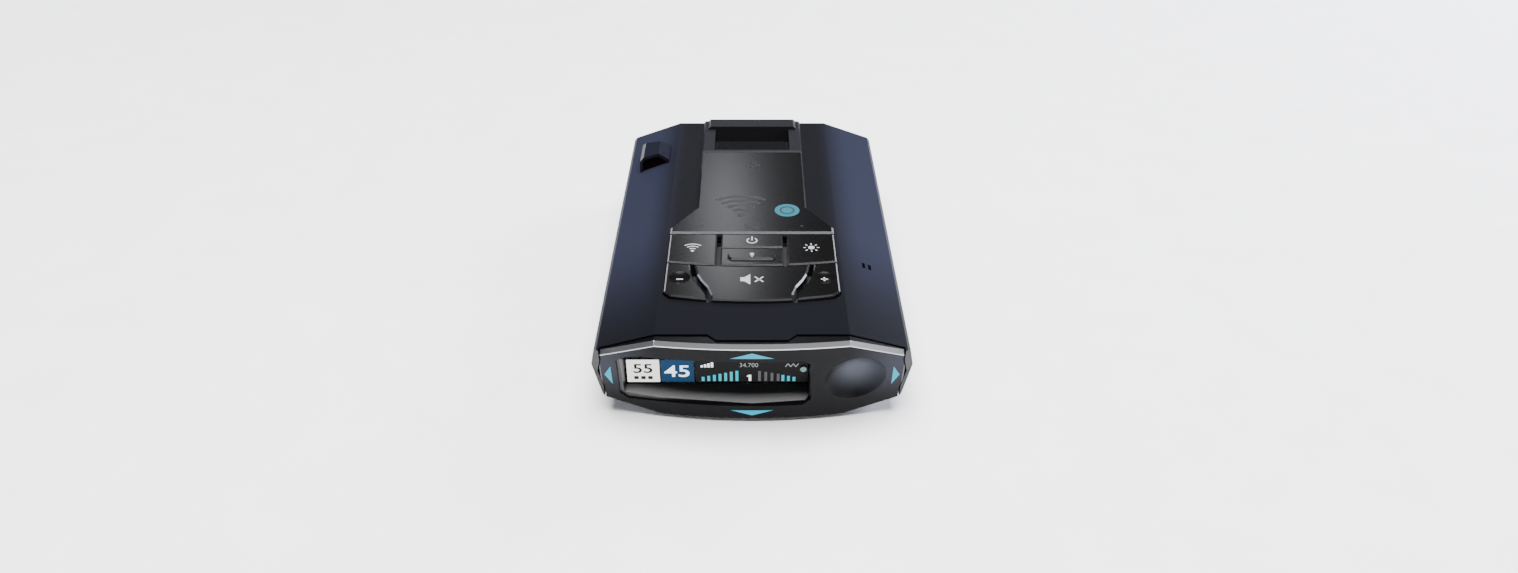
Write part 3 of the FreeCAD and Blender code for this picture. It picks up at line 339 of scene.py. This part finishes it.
casing_paint = surface(
    "casing_paint",
    (0.010, 0.011, 0.017),
    0.42,
    metal=0.05,
    grain=4200,
    bump=0.05,
    specular=0.03,
    gradient=band_to_wing((0.0040, 0.0038, 0.0037), (0.013, 0.0145, 0.026), (0.0025, 0.0025, 0.003)),
)
under_plastic = surface("under_plastic", (0.009, 0.009, 0.011), 0.5, grain=3000, bump=0.12, specular=0.03)
# the face's gradient is painted light: paler side facets and a painted highlight in its round dish
bezel_plastic = surface(
    "bezel_plastic",
    (0.004, 0.004, 0.005),
    0.38,
    grain=5000,
    bump=0.03,
    specular=0.05,
    gradient=face_painted_light((0.026, 0.028, 0.038), (0.062, 0.067, 0.082)),
)
# the trim, panel and keys take a paler colour on their steep faces: a painted highlight along their edges
trim_metal = surface(
    "trim_metal",
    (0.03, 0.03, 0.032),
    0.3,
    metal=1.0,
    grain=6000,
    bump=0.0,
    spread=0.01,
    gradient=flat_to_edge_highlight((0.40, 0.40, 0.42)),
)
panel_metal = surface(
    "panel_metal",
    (0.016, 0.0162, 0.018),
    0.22,
    metal=0.9,
    grain=2600,
    bump=0.0,
    spread=0.012,
    brushed=(1, 0.06, 1),
    gradient=flat_to_edge_highlight((0.05, 0.05, 0.052)),
)
key_metal = surface(
    "key_metal",
    (0.018, 0.018, 0.0185),
    0.2,
    metal=0.9,
    grain=2600,
    bump=0.0,
    spread=0.012,
    brushed=(0.06, 1, 1),
    gradient=flat_to_edge_highlight((0.05, 0.05, 0.052)),
)
frame_metal = surface("frame_metal", (0.009, 0.009, 0.011), 0.4, bump=0.03, specular=0.06)
gloss_black = surface("gloss_black", (0.004, 0.004, 0.005), 0.16, grain=600, bump=0.01, specular=0.05)
shroud_black = surface("shroud_black", (0.006, 0.006, 0.007), 0.36, grain=2500, bump=0.005, specular=0.34)
lens_glass = glass("lens_glass", (0.008, 0.009, 0.011), 0.25)
screen_black = surface("screen_black", (0.003, 0.003, 0.004), 0.2, grain=3000, bump=0.01)
board_green = circuit("board_green")
light_pipe = surface(
    "light_pipe",
    (0.004, 0.10, 0.13),
    0.3,
    grain=1800,
    bump=0.03,
    specular=0.1,
    emission=1.0,
    glow=(0.0, 0.44, 0.64),
)
hood_black = surface("hood_black", (0.004, 0.0045, 0.009), 0.42, grain=4200, bump=0.05, specular=0.12)
lamp_white = surface("lamp_white", (0.7, 0.75, 0.8), 0.3, emission=0.5)
silicone = surface("silicone", (0.5, 0.5, 0.52), 0.6, grain=2500, bump=0.15)
inner_plastic = surface("inner_plastic", (0.02, 0.02, 0.022), 0.6, bump=0.25)
pocket_plastic = surface("pocket_plastic", (0.007, 0.007, 0.008), 0.3, grain=2500, bump=0.05, coat=0.2)
strike_steel = surface(
    "strike_steel", (0.015, 0.015, 0.017), 0.28, metal=0.7, brushed=(0.05, 1, 1), bump=0.05
)
can_steel = surface("can_steel", (0.55, 0.56, 0.58), 0.3, metal=1, brushed=(1, 0.08, 1), bump=0.05)
nickel = surface("nickel", (0.6, 0.6, 0.62), 0.18, metal=1, bump=0.02)
infrared = surface("infrared_window", (0.004, 0.0015, 0.002), 0.1, grain=500, bump=0.01, specular=0.05)
chip_black = surface("chip_black", (0.015, 0.015, 0.016), 0.45, grain=4000, bump=0.12)
cast_metal = surface("cast_metal", (0.42, 0.42, 0.44), 0.42, metal=0.9, grain=1500, bump=0.3)
sleeve = surface("capacitor_sleeve", (0.5, 0.51, 0.53), 0.3, metal=0.9, brushed=(1, 1, 0.1), bump=0.05)
ceramic = surface("ceramic", (0.50, 0.43, 0.33), 0.55, grain=2000, bump=0.2)
paper = surface("paper_cone", (0.02, 0.02, 0.02), 0.8, grain=1500, bump=0.5)
polyimide = surface("polyimide", (0.45, 0.18, 0.03), 0.3, grain=900, bump=0.05, coat=0.3)
socket_black = surface("socket_black", (0.012, 0.012, 0.013), 0.4, bump=0.12)
screw_steel = surface("screw_steel", (0.32, 0.32, 0.34), 0.3, metal=1, wear=0.6)
rubber = surface("foot_rubber", (0.028, 0.028, 0.030), 0.8, grain=1800, bump=0.5)
label_foil = surface("label_foil", (0.20, 0.20, 0.21), 0.5, grain=1500, bump=0.05)
print_white = surface("print_white", (0.27, 0.275, 0.29), 0.5, grain=4000, bump=0.05)
print_dark = surface("print_dark", (0.010, 0.010, 0.012), 0.4, grain=4000, bump=0.05)
print_cyan = surface("print_cyan", (0.006, 0.075, 0.10), 0.4, grain=4000, bump=0.05)
gold = surface("gold_contact", (0.8, 0.55, 0.2), 0.2, metal=1, bump=0.02)
# the sensor disc's teal is its own colour; its faint emission is a painted glow
sensor_painted_glow = surface("sensor_painted_glow", (0.01, 0.12, 0.12), 0.15, coat=0.8, bump=0.02, emission=0.15)
lit_white = lit("lit_white", (0.80, 0.79, 0.77), 1.9)
lit_blue = lit("lit_blue", (0.001, 0.055, 0.15), 0.5)
lit_cyan = lit("lit_cyan", (0.01, 0.42, 0.52), 1.3)
lit_grey = lit("lit_grey", (0.10, 0.10, 0.105), 0.9)
lit_pale = lit("lit_pale", (0.35, 0.36, 0.37), 0.9)
lit_bright = lit("lit_bright", (0.9, 0.95, 1.0), 1.8)
lit_dark = lit("lit_dark", (0.002, 0.002, 0.003), 0.5)

# ------------------------------------------------------------------ the CAD nodes' finishes

FINISH = {
    "top_shell": casing_paint,
    "bottom_shell": under_plastic,
    "face_bezel": bezel_plastic,
    "bezel_trim": trim_metal,
    "display_shroud": shroud_black,
    "display_lens": lens_glass,
    "oled_panel": screen_black,
    "display_board": board_green,
    "arrow_leds": lamp_white,
    "console_panel": panel_metal,
    "key_guide": inner_plastic,
    "keypad_board": board_green,
    "mount_frame": frame_metal,
    "mount_pocket": pocket_plastic,
    "strike_plate": strike_steel,
    "mount_magnets": nickel,
    "laser_hood": hood_black,
    "rear_laser_lens": infrared,
    "rear_laser_sensor": chip_black,
    "light_sensor": chip_black,
    "main_board": board_green,
    "front_horn": cast_metal,
    "rear_horn": cast_metal,
    "rf_shield": can_steel,
    "board_chips": chip_black,
    "wireless_module": can_steel,
    "backup_capacitor": sleeve,
    "gps_board": board_green,
    "gps_patch": ceramic,
    "speaker_frame": inner_plastic,
    "speaker_cone": paper,
    "speaker_magnet": nickel,
    "display_ribbon": polyimide,
    "power_jack": socket_black,
    "usb_port": can_steel,
    "earphone_jack": socket_black,
    "front_radome": gloss_black,
    "front_laser_lens": infrared,
    "front_laser_sensor": chip_black,
    "case_screws": screw_steel,
    "rubber_feet": rubber,
    "rating_label": label_foil,
}
FINISH.update({f"arrow_{side}": light_pipe for side in ("up", "down", "left", "right")})
FINISH.update({name: key_metal for name in KEYS})
FINISH.update({name.replace("key_", "dome_"): silicone for name in KEYS})

# how far each visible node's sharp edges are rounded, in mm
SOFT_EDGES = {name: 0.16 for name in KEYS}
SOFT_EDGES.update({"console_panel": 0.15, "mount_frame": 0.2, "laser_hood": 0.18, "bezel_trim": 0.1})


def finish_nodes():
    for name, obj in nodes.items():
        obj.data.materials.clear()
        obj.data.materials.append(FINISH[name])
        for face in obj.data.polygons:
            face.material_index = 0


def soften_edges():
    """Rounds sharp edges a little, as moulding and plating do."""
    for name, width in SOFT_EDGES.items():
        mod = nodes[name].modifiers.new("soft_edges", "BEVEL")
        mod.width = width * MM
        mod.segments = 2
        mod.limit_method = "ANGLE"
        mod.angle_limit = math.radians(28)
        mod.harden_normals = True


finish_nodes()
soften_edges()

# ------------------------------------------------------------------ outlines, in mm


def rectangle(u0, v0, u1, v1):
    return [(u0, v0), (u1, v0), (u1, v1), (u0, v1)]


def block(u, v, half_u, half_v):
    return rectangle(u - half_u, v - half_v, u + half_u, v + half_v)


def disc(u, v, radius, steps=24):
    turns = [2 * math.pi * n / steps for n in range(steps)]
    return [(u + radius * math.cos(turn), v + radius * math.sin(turn)) for turn in turns]


def bar(u0, v0, u1, v1, width):
    """A straight stroke from one point to another."""
    along = Vector((u1 - u0, v1 - v0)).normalized()
    u, v = -along.y * width / 2, along.x * width / 2
    return [(u0 + u, v0 + v), (u0 - u, v0 - v), (u1 - u, v1 - v), (u1 + u, v1 + v)]


def rays(u, v, near, far, width, count):
    """Strokes that point away from a middle, evenly round it."""
    out = []
    for n in range(count):
        across, up = math.cos(2 * math.pi * n / count), math.sin(2 * math.pi * n / count)
        out.append(bar(u + near * across, v + near * up, u + far * across, v + far * up, width))
    return out


def band(u, v, radius, width, start, end, parts):
    """A curved stroke between two angles in degrees, cut into short convex lengths."""
    step = (end - start) / parts
    out = []
    for n in range(parts):
        turns = [math.radians(start + step * (n + third / 3)) for third in range(4)]
        outer, inner = (
            [(u + reach * math.cos(turn), v + reach * math.sin(turn)) for turn in turns]
            for reach in (radius + width / 2, radius - width / 2)
        )
        out.append(outer + inner[::-1])
    return out


def fan(u, v, radius, gap, width, spread, arcs, parts):
    """Arcs one outside the other, spread to both sides of the +v direction by an angle in degrees."""
    out = []
    for n in range(arcs):
        out += band(u, v, radius + gap * n, width, 90 - spread, 90 + spread, parts)
    return out


def row_of_bars(count, left, pitch, width, low, high, rise=0.0):
    """Upright bars side by side, each one taller than the last by rise."""
    return [rectangle(left + pitch * n, low, left + pitch * n + width, high + rise * n) for n in range(count)]


# ------------------------------------------------------------------ pieces made from outlines

# each of these returns a function that takes u and v in an outline's plane, and w out of it, to X, Y and Z


def facing_up(z):
    return lambda u, v, w: (u, v, z + w)


def facing_up_turned(z):
    """As facing_up, with u along Y and v along X."""
    return lambda u, v, w: (v, u, z + w)


def facing_down(z):
    return lambda u, v, w: (u, v, z - w)


def facing_driver(y):
    return lambda u, v, w: (u, y - w, v)


def piece(name, vertices, faces, material, body):
    mesh = bpy.data.meshes.new(name)
    mesh.from_pydata(vertices, [], faces)
    mesh.validate()
    mesh.update()
    mesh.materials.append(material)
    obj = add_object(name, mesh)
    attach(obj, body)
    return obj


def slabs(name, outlines, place, material, body, thick=0.02):
    """Thin raised plates, one for each outline."""
    vertices = []
    faces = []
    for outline in outlines:
        first = len(vertices)
        count = len(outline)
        for height in (0.0, thick):
            vertices += [Vector(place(u, v, height)) * MM for u, v in outline]
        faces.append(tuple(range(first + count, first + count * 2)))
        faces.append(tuple(reversed(range(first, first + count))))
        for n in range(count):
            after = (n + 1) % count
            faces.append((first + n, first + after, first + count + after, first + count + n))
    obj = piece(name, vertices, faces, material, body)
    fix = bmesh.new()
    fix.from_mesh(obj.data)
    bmesh.ops.recalc_face_normals(fix, faces=fix.faces)
    fix.to_mesh(obj.data)
    fix.free()


def ring_along_x(name, y, z, inner, outer, low, high, material, body, slot, steps=40):
    """A flat-ended ring between two stations on X."""
    vertices = []
    for x in (low, high):
        for radius in (inner, outer):
            for n in range(steps):
                turn = 2 * math.pi * n / steps
                vertices.append(Vector((x, y + radius * math.cos(turn), z + radius * math.sin(turn))) * MM)
    # low inner, low outer, high outer, high inner, and back to the first
    loops = [0, steps, steps * 3, steps * 2, 0]
    faces = []
    for first, second in zip(loops, loops[1:]):
        for n in range(steps):
            after = (n + 1) % steps
            faces.append((first + n, first + after, second + after, second + n))
    piece(name, vertices, faces, material, body)


# ------------------------------------------------------------------ what the display shows

SCREEN_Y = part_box("display_lens")[0].y / MM - 0.03  # just in front of the lens
TILE_LOW, TILE_HIGH = 11.0, 18.8
BAR_FOOT = 11.3
OVER_TILES = 0.04
NUMERALS_OVER = 0.05
NUMERALS_HALF_THICK = 0.01


def show(name, outlines, material, over=OVER_TILES, thick=0.02):
    slabs(name, outlines, facing_driver(SCREEN_Y - over), material, "casing", thick)


def show_numerals(name, text, size, bold, widen, middle, material):
    """Numerals standing on the screen's face, as a mesh."""
    curve = bpy.data.curves.new(name, "FONT")
    curve.body = text
    curve.size = size * MM
    curve.offset = bold * MM
    curve.extrude = NUMERALS_HALF_THICK * MM
    curve.align_x = "CENTER"
    curve.align_y = "CENTER"
    holder = add_object(name, curve, (middle[0] * MM, (SCREEN_Y - NUMERALS_OVER) * MM, middle[1] * MM))
    holder.rotation_euler = (math.radians(90), 0, 0)
    holder.scale = (widen, 1, 1)
    bpy.context.view_layer.update()
    mesh = bpy.data.meshes.new_from_object(holder)
    mesh.transform(holder.matrix_world)
    bpy.data.objects.remove(holder)
    mesh.name = name
    mesh.materials.clear()
    mesh.materials.append(material)
    obj = add_object(name, mesh)
    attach(obj, "casing")


def make_display():
    show("tile_limit", [rectangle(-34.9, TILE_LOW, -25.8, TILE_HIGH)], lit_white, over=0)
    show("tile_speed", [rectangle(-25.4, TILE_LOW, -16.2, TILE_HIGH)], lit_blue, over=0)
    show("tile_rest", [rectangle(-15.8, TILE_LOW, 15.6, TILE_HIGH)], lit_dark, over=0, thick=0.01)
    show_numerals("digits_limit", "55", 4.4, 0.07, 1.32, (-30.4, 15.6), lit_dark)
    show("limit_dashes", row_of_bars(3, -33.0, 1.95, 1.3, 12.0, 13.1), lit_dark)
    show_numerals("digits_speed", "45", 5.7, 0.05, 1.3, (-20.8, 14.6), lit_bright)
    show("bars_rising", row_of_bars(7, -14.1, 1.58, 0.8, BAR_FOOT, 12.8, 0.36), lit_cyan)
    show("bars_falling_grey", row_of_bars(4, 1.7, 1.74, 0.8, BAR_FOOT, 14.9, -0.32), lit_grey)
    show("bars_falling_cyan", row_of_bars(3, 8.25, 1.55, 0.8, BAR_FOOT, 13.5, -0.35), lit_cyan)
    flag = [(-0.9, 13.5), (-1.4, 13.15), (-1.4, 12.75), (-0.9, 13.0)]
    show("digit_count", [rectangle(-0.9, 11.4, -0.25, 13.5), flag], lit_bright)
    show_numerals("digits_reading", "34.700", 2.0, 0.0, 0.98, (-0.9, 16.9), lit_pale)
    show("signal_steps", row_of_bars(4, -14.3, 0.95, 0.65, 16.2, 16.9, 0.34), lit_bright)
    turns = [(9.3 + 0.72 * n, 16.4 + 1.1 * (n % 2)) for n in range(6)]
    show("signal_ripple", [bar(*turn, *after, 0.26) for turn, after in zip(turns, turns[1:])], lit_pale)


# ------------------------------------------------------------------ pictograms on the keys and panel

KEY_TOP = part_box("key_mute")[1].z / MM
RIDGE_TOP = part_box("key_mark")[1].z / MM
HOLLOW_FLOOR = KEY_TOP - 0.56
PANEL_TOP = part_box("console_panel")[1].z / MM
STROKE = 0.4


def power_symbol(u, v):
    return band(u, v, 1.45, STROKE, 125, 415, 16) + [bar(u, v + 0.1, u, v + 2.2, STROKE)]


def waves(u, v):
    return [disc(u, v, 0.5)] + fan(u, v, 1.35, 1.2, STROKE, 40, 3, 6)


def sun(u, v):
    return [disc(u, v, 0.95)] + rays(u, v, 1.6, 2.4, 0.34, 8)


def pin(u, v):
    return [disc(u, v, 0.65), [(u - 0.58, v - 0.25), (u, v - 1.7), (u + 0.58, v - 0.25)]]


def muted_speaker(u, v):
    magnet = rectangle(u - 3.3, v - 1, u - 2.2, v + 1)
    cone = [(u - 2.2, v - 1), (u - 0.5, v - 2.6), (u - 0.5, v + 2.6), (u - 2.2, v + 1)]
    cross = [bar(u + 0.8, v - rise, u + 3.2, v + rise, 0.46) for rise in (1.3, -1.3)]
    return [magnet, cone] + cross


def minus(u, v):
    return [block(u, v, 1.3, 0.25)]


def plus(u, v):
    return minus(u, v) + [block(u, v, 0.25, 1.3)]


# what is printed on each key, its middle, and the height it is printed at
KEY_PRINTS = {
    "power": (power_symbol, (0, -17.4), KEY_TOP),
    "sensitivity": (waves, (-17.6, -23.2), KEY_TOP),
    "brightness": (sun, (17.6, -21.4), KEY_TOP),
    "mark": (pin, (0, -26.1), RIDGE_TOP),
    "mute": (muted_speaker, (0, -38.4), KEY_TOP),
    "volume_down": (minus, (-20.6, -37.5), HOLLOW_FLOOR),
    "volume_up": (plus, (20.6, -37.5), HOLLOW_FLOOR),
}
POSITION_AT = (0, 31.5)
SWEEP_AT = (-3.5, -2.6)
SPOT_AT = (11.0, 1.0)


def print_on_panel(name, outlines, material=print_dark, over=0.0):
    slabs(name, outlines, facing_up(PANEL_TOP + over), material, "casing")


def make_pictograms():
    for key, (draw, middle, height) in KEY_PRINTS.items():
        slabs(f"icon_{key}", draw(*middle), facing_up(height), print_white, f"key_{key}")

    print_on_panel("icon_settings", [block(0, -8.125 - 0.85 * n, 2.2, 0.175) for n in range(3)])
    print_on_panel("panel_dots", [disc(-15.2, -8.6, 0.4), disc(15.2, -8.6, 0.4)])
    ring = band(*POSITION_AT, 1.5, 0.42, 0, 360, 16)
    print_on_panel("icon_position", ring + rays(*POSITION_AT, 1.5, 2.7, 0.42, 4))
    source = disc(SWEEP_AT[0], SWEEP_AT[1] + 0.6, 1.2)
    print_on_panel("panel_sweep", fan(*SWEEP_AT, 4.0, 2.9, 1.35, 38, 4, 10) + [source])
    print_on_panel("panel_spot", [disc(*SPOT_AT, 3.9, 48)], print_cyan)
    print_on_panel("panel_spot_ring", band(*SPOT_AT, 2.1, 0.5, 0, 360, 20), over=0.02)


# ------------------------------------------------------------------ sockets, face and underside details


CONTACTS = 6
CONTACT_PITCH = 1.28
BORE_RADIUS = 1.8
RING_RADIUS = 2.5
BORDER_HALF_X = 15.35  # to the middle of the label's border line
BORDER_HALF_Y = 9.45
LINE_HALF = 0.15


def box_mm(name):
    low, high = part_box(name)
    return low / MM, high / MM


def make_socket_details():
    low, high = box_mm("power_jack")
    wires = []
    for n in range(CONTACTS):
        y = (low.y + high.y) / 2 + CONTACT_PITCH * (n - (CONTACTS - 1) / 2)
        wires.append(rectangle(y - 0.18, low.x + 2.0, y + 0.18, low.x + 10.6))
    slabs("power_contacts", wires, facing_up_turned(low.z + 1.22), gold, "casing", 0.25)

    ear_low, ear_high = box_mm("earphone_jack")
    ear_y = (ear_low.y + ear_high.y) / 2
    ends = (ear_low.x - 0.05, ear_low.x + 0.3)
    ear_z = low.z + 3.0
    ring_along_x("earphone_ring", ear_y, ear_z, BORE_RADIUS, RING_RADIUS, *ends, nickel, "casing", "steel")


def make_face_sensor():
    on_lens = facing_driver(SCREEN_Y - 0.3)
    slabs("face_sensor", [disc(14.3, 15.8, 0.9)], on_lens, sensor_painted_glow, "casing", 0.2)


def make_label_print():
    low, high = box_mm("rating_label")
    under = facing_down(low.z)
    middle = (low.y + high.y) / 2
    edge = [block(0, middle + side * BORDER_HALF_Y, BORDER_HALF_X + LINE_HALF, LINE_HALF) for side in (-1, 1)]
    edge += [block(side * BORDER_HALF_X, middle, LINE_HALF, BORDER_HALF_Y - LINE_HALF) for side in (-1, 1)]
    slabs("label_border", edge, under, print_dark, "casing")
    fields = [block(side * 7, middle + 5, 6, 2.5) for side in (-1, 1)]
    slabs("label_fields", fields, under, print_white, "casing")


make_display()
make_pictograms()
make_socket_details()
make_face_sensor()
make_label_print()
